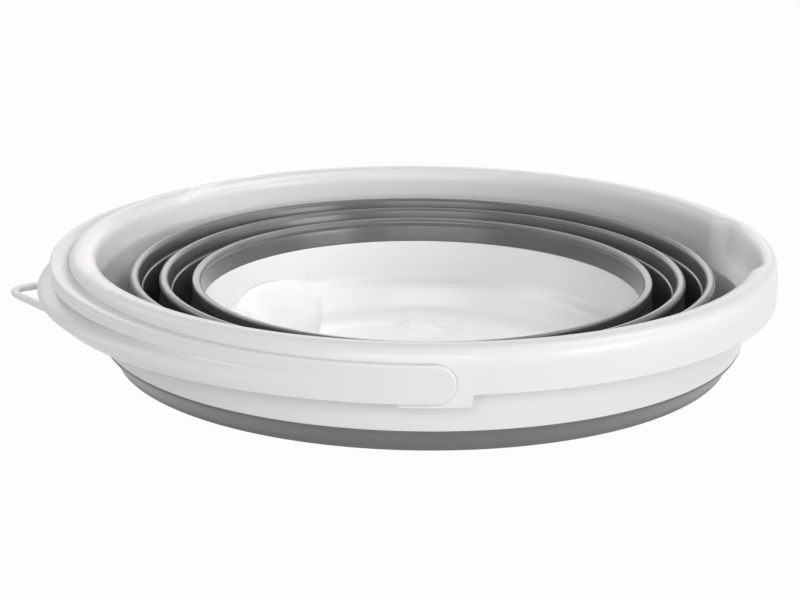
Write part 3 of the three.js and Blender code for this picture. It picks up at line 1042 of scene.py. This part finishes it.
    def pegs(self) -> list[Shell]:
        """The two pivot pegs.

        Returns:
            Round pins through the brim's wall with a wider domed head inside it, each a turned profile that
            is laid along Y.
        """
        inside = self.datum.brim_radius - self.brim_wall - self.peg_play
        tip = inside - self.peg_head
        head, outside = self.peg_radius + self.peg_lip, self.inner + self.band / 2
        corners = np.array(
            [
                [0.0, tip - self.peg_dome],
                [head, tip],
                [head, inside],
                [self.peg_radius, inside],
                [self.peg_radius, outside],
                [0.0, outside],
            ]
        )
        profile = open_profile(corners, np.full(corners.shape, self.peg_edge), self.peg_samples)
        rings = turned(profile[None], full_turn(self.peg_steps))
        poles = np.array([[0.0, 0.0, corners[0, 1]], [0.0, 0.0, corners[-1, 1]]])
        edge = np.zeros(rings.shape[:2])
        place = np.array([0.0, 0.0, self.datum.pivot_height])
        swaps = [np.array([[1.0, 0.0, 0.0], [0.0, 0.0, 1.0], [0.0, side, 0.0]]) for side in (-1.0, 1.0)]
        return [
            Shell.from_grid(rings @ swap + place, edge, (True, False), poles @ swap + place) for swap in swaps
        ]

    def build(self, shop: Workshop) -> None:
        """Makes the handle with its pegs, on the handle body.

        Args:
            shop: makes the piece and dresses it.
        """
        angle = self.angles()
        band = revolved(self.section(angle), angle + 180.0, wrap=False)
        shop.rigid("bail_handle_grip", [band, *self.pegs()], Finish.WHITE_PLASTIC, Body.HANDLE, "bail_handle")


@dataclass
class Bellows:
    """The grey rubber walls that fold into each other: two bands, two rings and three turning panels."""

    datum: Datum
    crest_half: float = 2.1
    band_crest: float = 3.0  # thickness of the inner band's crest
    root_half: float = 1.2
    wall_half: float = 0.95
    panel_half: float = 0.75
    outer_flare: float = 8.7  # outer crest to the lowest outer edge
    ridge_drop: float = 6.0  # ledge on a ring's inner face, below its crest
    ridge_step: float = 0.6
    ridge_edge: tuple[float, float] = (0.1, 0.5)  # ledge's fall, before and past its place
    swell_share: float = 0.35  # share of the way to the ledge where the inner face begins to swell
    root_fade: float = 3.0  # length over which a ring's root thins
    bead_span: tuple[float, float] = (3.6, 0.4)  # below a crest, where a ring's bead begins and is full
    panel_bead: float = 4.5  # below a crest, where a panel's bead begins
    panel_gap: float = 0.15  # a panel's bead, inside the ring's
    heel: tuple[float, float] = (0.5, 1.0)  # outer band's widest place, past the root and above it
    bevel: tuple[float, float] = (0.2, 1.2)  # outer band's upper edge, in from the seam and below it
    head_drop: float = 2.8  # below the middle of the inner band's crest, where its upright outer side begins
    # how far each corner's rounding reaches back and forward, on the outer and the inner band
    outer_cuts: tuple[float, ...] = (1.1, 1.1, 1.1, 0.6, 0.6, 2.0, 2.0, 0.4, 0.15, 0.15, 0.15, 0.15)
    inner_cuts: tuple[float, ...] = (0.3, 0.3, 0.3, 0.3, 1.2, 1.2, 1.4, 1.2, 1.7, 6.5)
    cup_wall: float = 2.4
    cup_top_radius: float = 99.75
    seam_gap: float = 0.05
    ring_steps: int = 120
    panel_steps: int = 60
    outer_samples: int = 6
    inner_samples: int = 7

    def crest(self, fold: int) -> Array:
        """Middle of a crest, counted from the outside."""
        return np.array([self.datum.crest_reach[fold], self.datum.crest_height[fold]]) - self.crest_half

    def root(self, fold: int) -> Array:
        """Middle of a root.

        Args:
            fold: its number, counted from the outside.

        Returns:
            Radius and height, outside the first crest or half-way between two crests.
        """
        outer = self.crest(0)[0] + self.outer_flare
        if fold > 0:
            outer = (self.crest(fold - 1)[0] + self.crest(fold)[0]) / 2
        return np.array([outer - self.root_half, self.datum.root_height[fold] + self.root_half])

    @staticmethod
    def wall(foot: Array, head: Array, outer: Array, inner: Array) -> Array:
        """Outline of a wall with round ends.

        Args:
            foot: middle of the lower end.
            head: middle of the upper end.
            outer: half thickness on the outer side at even steps from foot to head.
            inner: half thickness on the inner side at the same steps.

        Returns:
            Points up the outer side, round the head, down the inner side and round the foot, (1, point, 2).
        """
        along = head - foot
        along = along / np.linalg.norm(along)
        out = np.array([along[1], -along[0]])
        place = mix(foot, head, np.linspace(0.0, 1.0, len(outer))[:, None])
        turn = np.linspace(0.0, np.pi, CAP_STEPS)[1:-1, None]
        share = (1 - np.cos(turn)) / 2
        cap = np.cos(turn) * out + np.sin(turn) * along
        head_cap = head + mix(outer[-1], inner[-1], share) * cap
        foot_cap = foot - mix(inner[0], outer[0], share) * cap
        up = place + out * outer[:, None]
        down = (place - out * inner[:, None])[::-1]
        return np.concatenate([up, head_cap, down, foot_cap])[None]

    def fold_ring(self, fold: int) -> Shell:
        """A stiff ring from one crest to the next root.

        Args:
            fold: number of its crest, counted from the outside.

        Returns:
            A wall with a bead outside its crest and, inside, a slow swelling that ends in a small ledge.
        """
        foot, head = self.root(fold + 1), self.crest(fold)
        length = np.linalg.norm(head - foot)
        place = np.linspace(0.0, length, self.ring_steps)
        crest = self.crest_half - self.wall_half
        root = (self.root_half - self.wall_half) * (1.0 - smoothstep(place, 0.0, self.root_fade))
        begins, full = self.bead_span
        bead = crest * smoothstep(place, length - begins, length - full)
        ledge = length - self.ridge_drop
        swell = smoothstep(place, self.swell_share * ledge, ledge)
        before, past = self.ridge_edge
        ridge = self.ridge_step * swell * (1.0 - smoothstep(place, ledge - before, ledge + past))
        outer = self.wall_half + root + bead
        inner = self.wall_half + root + crest * swell + ridge
        return revolved(self.wall(foot, head, outer, inner), full_turn(TURN_STEPS))

    def fold_panel(self, fold: int) -> Shell:
        """The thin panel between a root and its crest, which turns inside out as the fold opens.

        Args:
            fold: number of its crest, counted from the outside.

        Returns:
            A wall of even thickness that swells to a bead by a smooth step towards its crest.
        """
        foot, head = self.root(fold), self.crest(fold)
        length = np.linalg.norm(head - foot)
        bead = smoothstep(np.linspace(0.0, length, self.panel_steps), length - self.panel_bead, length)
        half = mix(self.panel_half, self.crest_half - self.panel_gap, bead)
        return revolved(self.wall(foot, head, half, half), full_turn(TURN_STEPS))

    @staticmethod
    def band(corners: list[list[float]], cuts: tuple[float, ...], samples: int) -> Shell:
        """A turned band with rounded corners.

        Args:
            corners: its outline.
            cuts: how far each corner's rounding reaches back and forward, in one row.
            samples: points on each rounding.

        Returns:
            The band all the way round.
        """
        section = closed_section(np.array(corners), np.reshape(cuts, (-1, 2)), samples)
        return revolved(section[None], full_turn(TURN_STEPS))

    def outer_band(self) -> Shell:
        """The band below the collar's skirt.

        Returns:
            A turned outline with a flat top edge, a slightly hollow face and a round lower edge.
        """
        half, seam, top = self.root_half, self.datum.seam_radius, self.datum.seam_height - self.seam_gap
        reach, height = self.root(0)
        corners = [
            [reach - half, height - half],
            [reach + half, height - half],
            [reach + half + self.heel[0], height + self.heel[1]],
            [seam - self.bevel[0], top - self.bevel[1]],
            [seam, top],
            [seam - 2 * half, top],
        ]
        return self.band(corners, self.outer_cuts, self.outer_samples)

    def inner_band(self) -> Shell:
        """The band from the last crest down to the top edge of the base cup.

        Returns:
            A turned outline with a rounded crest and a flat lower edge.
        """
        half, seam = self.crest_half, self.datum.cup_height + self.seam_gap
        reach, height = self.crest(-1)
        corners = [
            [self.cup_top_radius, seam],
            [self.cup_top_radius + self.cup_wall, seam],
            [reach + half, height - self.head_drop],
            [reach + half, height + half],
            [reach + half - self.band_crest, height + half],
        ]
        return self.band(corners, self.inner_cuts, self.inner_samples)

    def build(self, shop: Workshop) -> None:
        """Makes the walls on their bodies, and the panels, which go on no body.

        Args:
            shop: makes the pieces and dresses them.
        """
        grey = Finish.GREY_RUBBER
        # the outer band takes the lighter copy of the rubber: painted light against the folds' darker painted
        # shade
        shop.rigid("outer_band_skin", [self.outer_band()], Finish.LIT_OUTER_RUBBER, Body.COLLAR, "outer_band")
        shop.rigid("fold_ring_1_skin", [self.fold_ring(0)], grey, Body.RING_1, "fold_ring_1")
        shop.rigid("fold_ring_2_skin", [self.fold_ring(1)], grey, Body.RING_2, "fold_ring_2")
        shop.rigid("inner_band_skin", [self.inner_band()], grey, Body.BASE, "inner_band")
        pairs = [(Body.RING_1, Body.COLLAR), (Body.RING_2, Body.RING_1), (Body.BASE, Body.RING_2)]
        for fold, (crest_body, root_body) in enumerate(pairs):
            name = f"fold_panel_{fold + 1}"
            panel = shop.piece(f"{name}_skin", [self.fold_panel(fold)], grey, (name,))
            start, end = (0.0, 0.0, self.crest(fold)[1] * MM), (0.0, 0.0, self.root(fold)[1] * MM)
            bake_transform(panel)
            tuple(start)
            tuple(end)


@dataclass
class BaseCup:
    """The white cup in the middle: a stepped wall, a floor with a raised pad, and a finger recess."""

    datum: Datum
    wall: float = 2.4
    floor_thickness: float = 2.5
    floor_radius: float = 86.5
    floor_curve: float = 3.0
    lower_flare: float = 4.3
    break_height: float = 11.5
    break_flare: float = 0.9
    step_height: float = 21.0
    step_width: float = 6.6
    step_rise: float = 3.0
    upper_flare: float = 2.35
    foot_ring: float = 16.0  # width of the flat ring that the cup stands on
    foot_bevel: float = 1.5  # width of the slope inside that ring
    foot_rise: float = 0.7
    # how far each corner's rounding reaches, from the axis below to the axis above
    cuts: tuple[float, ...] = (0.5, 0.5, 0.5, 1.5, 2.0, 1.5, 2.0, 0.5, 0.5, 2.2, 1.8, 1.0, 2.0, 2.0, 0.5)
    recess_azimuth: float = 140.5
    recess_crisp_reach: float = 23.0  # round the wall, on the side that leaves the wall in a crease
    recess_soft_reach: float = 29.0  # round the wall, on the side that fades out
    recess_middle: float = 18.0
    recess_top: float = 30.4
    recess_tail: float = 26.0  # half height below the middle
    recess_depth: float = 5.0
    recess_foot_radius: float = 82.0
    recess_top_radius: float = 98.4
    recess_bow: float = 2.0
    recess_turn: float = 16.0  # round the wall, from the soft side to the crisp one
    recess_exit: float = 4.0
    recess_exit_power: int = 6
    recess_crisp: tuple[float, float] = (0.3, 0.5)  # power of the swelling and rounding of its edge
    recess_soft: tuple[float, float] = (1.1, 4.0)
    dimple_side: float = 11.0
    dimple_height: float = 21.5
    dimple_lean: float = 0.43
    dimple_edge: float = 2.4
    dimple_ease: float = 6.0
    dimple_fade: tuple[float, float] = (12.0, 26.0)
    dimple_depth: float = 1.8
    crease_depth: float = 1.1
    crease_width: float = 4.0
    pad_azimuth: float = 89.0
    pad_offset: float = 8.0
    pad_radius: float = 14.0
    pad_flat: float = 0.25  # share of that radius where the pad is level
    pad_height: float = 3.5
    pad_fade: float = 8.0  # height over which the wall's foot follows the pad
    floor_still: float = 0.55  # share of the floor's radius that is not drawn in
    turn_steps: int = 160
    recess_steps: int = 190
    pad_cluster: tuple[float, int] = (12.0, 24)  # degrees either side of the pad's middle, and points there
    spacing: float = 2.4
    fine_spacing: float = 0.48  # up the inner wall
    fine_start: float = 0.1  # above the floor, where that begins
    samples: int = 5

    def profile(self) -> Array:
        """Outer and inner side of the cup.

        Returns:
            An outline with rounded corners from the axis below to the axis above, with close points up the
            inner wall, (point, 2).
        """
        wall, top = self.wall, self.datum.cup_height
        step_inner = self.floor_radius + self.lower_flare
        upper_foot = step_inner + self.step_width
        upper_head = upper_foot + self.upper_flare
        ring_inner = self.floor_radius - self.foot_ring
        ledge = self.step_height + self.step_rise
        corners = np.array(
            [
                [0.0, self.foot_rise],
                [ring_inner, self.foot_rise],
                [ring_inner + self.foot_bevel, 0.0],
                [self.floor_radius, 0.0],
                [self.floor_radius + self.floor_curve, self.floor_curve],
                [step_inner + wall, self.step_height - wall],
                [upper_foot + wall, ledge - wall],
                [upper_head + wall, top],
                [upper_head, top],
                [upper_foot, ledge],
                [step_inner, self.step_height],
                [self.floor_radius + self.break_flare, self.break_height],
                [self.floor_radius, self.floor_thickness + self.floor_curve],
                [self.floor_radius - self.floor_curve, self.floor_thickness],
                [0.0, self.floor_thickness],
            ]
        )
        run = open_profile(corners, np.stack([self.cuts, self.cuts], axis=1), self.samples)
        inside = np.arange(len(run) - 1) >= np.argmax(run[:, 1])
        upright = run[1:, 1] > self.floor_thickness + self.fine_start
        return densified(run, np.where(inside & upright, self.fine_spacing, self.spacing))

    def swollen(self, radius: Array, side: Array, height: Array) -> Array:
        """Radius of the wall where the finger recess swells it inwards.

        Args:
            radius: radius of the plain inner wall.
            side: distance round the wall from the middle of the recess.
            height: height above the underside.

        Returns:
            The softened smaller of the plain radius and a dome. The dome stands in from a bowed cone by the
            depth times (1 - q) to a power, where q is the sum of the squared shares of the recess's reach and
            half height, and leaves the wall with a high power of q. A wedge-shaped dimple is left out of it,
            and the crease where the two meet is a bell-shaped groove.
        """
        crisp = smoothstep(side, -self.recess_turn, 0.0)
        power, rounding = (mix(soft, hard, crisp) for soft, hard in zip(self.recess_soft, self.recess_crisp))
        reach = np.where(side > 0.0, self.recess_crisp_reach, self.recess_soft_reach)
        rise = np.where(height > self.recess_middle, self.recess_top - self.recess_middle, self.recess_tail)
        q = (side / reach) ** 2 + ((height - self.recess_middle) / rise) ** 2
        bow = (height / self.recess_top) ** self.recess_bow
        cone = mix(self.recess_foot_radius, self.recess_top_radius, bow)
        right, below = self.dimple_side - side, self.dimple_height - height
        dimple = smoothstep(right - self.dimple_lean * below, 0.0, self.dimple_edge)
        dimple = self.dimple_depth * dimple * smoothstep(below, -self.dimple_ease / 2, self.dimple_ease)
        dimple = dimple * (1.0 - smoothstep(right, *self.dimple_fade))
        swell = self.recess_depth * np.clip(1.0 - q, 0.0, 1.0) ** power
        dome = cone - swell + dimple + self.recess_exit * q**self.recess_exit_power
        near = np.minimum(dome, radius + rounding)
        crease = self.crease_depth * crisp * np.exp(-(((dome - radius) / self.crease_width) ** 2))
        return np.minimum(soft_min(radius, near, rounding), radius) + crease

    def pad_rise(self, points: Array) -> Array:
        """How far the pad lifts each point.

        Args:
            points: points of the cup, (..., 3).

        Returns:
            The pad's height, falling to nothing by a smooth step of the distance from its middle in plan.
        """
        angle, offset = math.radians(self.pad_azimuth), self.floor_radius - self.pad_offset
        centre = offset * np.array([math.cos(angle), math.sin(angle)])
        away = np.linalg.norm(points[..., :2] - centre, axis=-1)
        return self.pad_height * (1.0 - smoothstep(away, self.pad_flat * self.pad_radius, self.pad_radius))

    def shell(self) -> Shell:
        """The whole cup.

        Returns:
            The turned profile with the wall swollen inwards over the recess, the floor drawn in with the
            wall's foot, and the pad raised on the floor.
        """
        span = math.degrees(self.recess_soft_reach / self.floor_radius)
        clusters = [(self.recess_azimuth, span, self.recess_steps), (self.pad_azimuth, *self.pad_cluster)]
        azimuth = azimuth_samples(self.turn_steps, clusters)
        profile = self.profile()
        height = profile[None, :, 1]
        radius = np.broadcast_to(profile[None, :, 0], (len(azimuth), len(profile)))
        side = np.radians(azimuth - self.recess_azimuth)[:, None] * (self.floor_radius + self.lower_flare)
        outside = (np.arange(len(profile)) < int(np.argmax(profile[:, 1])))[None]
        skin = np.where(outside, self.wall, 0.0)
        pulled = radius - skin - self.swollen(radius - skin, side, height)
        level = np.where(outside, 0.0, self.floor_thickness)
        foot = self.floor_radius - np.where(outside, 0.0, self.floor_curve)
        drawn = foot - self.swollen(foot, side, level)
        drawn = drawn * smoothstep(radius, self.floor_still * self.floor_radius, self.floor_radius)
        flat = (radius <= foot + NEAR) & (height <= self.floor_thickness + NEAR)
        radius = radius - np.where(flat, drawn, pulled)
        loop = np.stack([radius, np.broadcast_to(height, radius.shape)], axis=-1)
        points = turned(loop, azimuth)
        follow = 1.0 - smoothstep(height, self.floor_thickness, self.floor_thickness + self.pad_fade)
        points[..., 2] += np.where(outside, 0.0, self.pad_rise(points) * follow)
        poles = np.array([[0.0, 0.0, self.foot_rise], [0.0, 0.0, self.floor_thickness]])
        return Shell.from_grid(points, edge_amount(loop), (True, False), poles)

    def build(self, shop: Workshop) -> None:
        """Makes the cup, on the base body."""
        shop.rigid("base_cup_shell", [self.shell()], Finish.WHITE_PLASTIC, Body.BASE, "base_cup")


@dataclass(frozen=True)
class Softbox:
    """A flat lamp that faces a point on the bucket: wide and soft, or small with a narrow beam."""

    name: str
    azimuth: float
    elevation: float
    distance: float
    width: float
    height: float
    watts: float
    spread: float = 180.0  # degrees; a small one makes a beam
    aside: tuple[float, ...] = (0.0, 0.0, 0.0)  # from the target to the lit point, mm

    def build(self, target: Vector) -> None:
        """Places the lamp at its angles and distance from the lit point and turns it there.

        Args:
            target: middle of the bucket, in metres.
        """
        target = target + Vector(self.aside) * MM
        lamp = bpy.data.lights.new(self.name, "AREA")
        lamp.shape, lamp.energy, lamp.spread = "RECTANGLE", self.watts, math.radians(self.spread)
        lamp.size, lamp.size_y = self.width, self.height
        turn, rise = math.radians(self.azimuth), math.radians(self.elevation)
        away = Vector((math.cos(turn) * math.cos(rise), math.sin(turn) * math.cos(rise), math.sin(rise)))
        facing = away.to_track_quat("Z", "Y").to_matrix().to_4x4()
        placed(self.name, lamp).matrix_world = Matrix.Translation(target + away * self.distance) @ facing


@dataclass
class Studio:
    """The pale floor, the soft light and the camera at the photograph's viewing angle."""

    floor_half: float = 6.0  # metres
    floor_colour: tuple[float, ...] = (0.8, 0.8, 0.8, 1.0)
    white: tuple[float, ...] = (1.0, 1.0, 1.0, 1.0)
    floor_glow: float = 0.97  # share of plain white that a looking ray gets from the floor
    sky_strength: float = 0.19
    focal_pixels: float = 2057.0
    image_width: float = 800.0
    sensor: float = 36.0
    clip: tuple[float, float] = (0.01, 50.0)
    camera_place: tuple[float, ...] = (-30.86, -904.77, 308.11)
    pitch: float = 16.48  # below the horizon
    yaw: float = 1.32
    roll: float = 0.44
    # name, azimuth, elevation, distance, width, height and watts, then a beam's spread and lit point
    lamps: tuple[Softbox, ...] = field(
        default_factory=lambda: (
            Softbox("key_softbox", -38.0, 12.0, 5.0, 2.4, 1.0, 47.0),
            Softbox("right_softbox", 0.0, 48.0, 5.0, 2.4, 2.4, 43.0),
            Softbox("right_low_softbox", -5.0, 12.0, 5.0, 3.6, 1.4, 20.0),
            Softbox("front_softbox", -95.0, 25.0, 5.0, 3.9, 1.5, 69.0),
            Softbox("low_softbox", -100.0, 6.0, 5.0, 5.0, 0.8, 32.0),
            Softbox("top_softbox", -10.0, 65.0, 5.0, 2.7, 2.7, 20.0),
            Softbox("back_softbox", 92.0, 18.0, 5.0, 4.8, 1.2, 18.0),
            Softbox("far_softbox", 150.0, 36.0, 5.0, 2.4, 2.4, 22.0),
            Softbox("snoot", -90.0, 88.0, 1.2, 0.17, 0.17, 0.025, 2.0),
            Softbox("left_beam", -15.0, 50.0, 1.5, 0.2, 0.024, 0.006, 2.6, (-115.0, 37.0, 18.0)),
            Softbox("spout_beam", 172.0, 38.0, 1.5, 0.05, 0.02, 0.0021, 2.4, (146.0, 5.0, 24.0)),
        )
    )

    def looking(self, tree: ShaderTree) -> Value:
        """Tells rays that look from light that falls on things.

        Args:
            tree: the tree that gets the nodes.

        Returns:
            1 for rays from the camera, from gloss or through glass, 0 for all others.
        """
        kinds = ("Camera", "Glossy", "Transmission")
        path = [tree.node("ShaderNodeLightPath", output=f"Is {kind} Ray") for kind in kinds]
        return tree.node("ShaderNodeClamp", {}, {"Value": path[0] + path[1] + path[2]})

    def floor(self) -> None:
        """A wide plane under the bucket: plain white to look at, with the bucket's shadow left in it."""
        half = self.floor_half
        mesh = bpy.data.meshes.new("floor")
        corners = [(-half, -half, 0), (half, -half, 0), (half, half, 0), (-half, half, 0)]
        mesh.from_pydata(corners, [], [(0, 1, 2, 3)])
        material = bpy.data.materials.new("pale_floor")
        tree = ShaderTree(material)
        lit = tree.node("ShaderNodeBsdfDiffuse", {}, {"Color": self.floor_colour})
        plain = tree.node("ShaderNodeEmission", {}, {"Color": self.white, "Strength": 1.0})
        share = self.floor_glow * self.looking(tree)
        shader = tree.node("ShaderNodeMixShader", {}, {0: share, 1: lit, 2: plain})
        tree.node("ShaderNodeOutputMaterial", {}, {"Surface": shader})
        mesh.materials.append(material)
        made = placed("floor", mesh)
        made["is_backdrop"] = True

    def sky(self) -> None:
        """An even white surround, plain white to look at and softer as light."""
        world = bpy.data.worlds.new("surround")
        bpy.context.scene.world = world
        tree = ShaderTree(world)
        strength = self.sky_strength + (1.0 - self.sky_strength) * self.looking(tree)
        light = tree.node("ShaderNodeBackground", {}, {"Color": self.white, "Strength": strength})
        tree.node("ShaderNodeOutputWorld", {}, {"Surface": light})

    def camera(self) -> None:
        """The camera, from its place and its three angles."""
        lens = bpy.data.cameras.new("camera")
        lens.sensor_width = self.sensor
        lens.lens = self.sensor * self.focal_pixels / self.image_width
        lens.clip_start, lens.clip_end = self.clip
        down, turn, lean = (math.radians(a) for a in (self.pitch, self.yaw, self.roll))
        ahead = Vector((math.sin(turn) * math.cos(down), math.cos(turn) * math.cos(down), -math.sin(down)))
        level = Vector((math.cos(turn), -math.sin(turn), 0.0))
        upright = level.cross(ahead)
        right = level * math.cos(lean) + upright * math.sin(lean)
        top = upright * math.cos(lean) - level * math.sin(lean)
        made = placed("camera", lens)
        facing = Matrix((right, top, -ahead)).transposed().to_4x4()
        made.matrix_world = Matrix.Translation(Vector(self.camera_place) * MM) @ facing
        bpy.context.scene.camera = made

    def build(self, target: Vector) -> None:
        """Sets the plain view transform and makes the stage round the target.

        Args:
            target: middle of the bucket, in metres.
        """
        bpy.context.scene.view_settings.view_transform = "Standard"
        self.floor()
        self.sky()
        self.camera()
        for lamp in self.lamps:
            lamp.build(target)


def main() -> None:
    """Loads the frame, builds each sub-assembly, and builds the stage round the middle of the CAD box."""
    logging.basicConfig(level=logging.INFO, format="%(name)s %(message)s")
    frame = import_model()
    cad_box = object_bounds()
    datum = Datum.read(frame["joints"])
    # the outer band's lighter copy of the grey rubber: painted light on the band, where the folds keep the
    # darker painted shade
    outer = GreyRubber(
        name=Finish.LIT_OUTER_RUBBER.value[0],
        colour=(0.16, 0.16, 0.162, 1.0),
        dusted=(0.175, 0.175, 0.176, 1.0),
        sheen=0.0,
    )
    shop = Workshop(
        {
            Finish.WHITE_PLASTIC: WhitePlastic().material(),
            Finish.GREY_RUBBER: GreyRubber().material(),
            Finish.LIT_OUTER_RUBBER: outer.material(),
        }
    )
    for part in (RimCollar(datum), BailHandle(datum), Bellows(datum), BaseCup(datum)):
        part.build(shop)
    Studio().build((cad_box[0] + cad_box[1]) / 2)


if __name__ == "__main__":
    main()
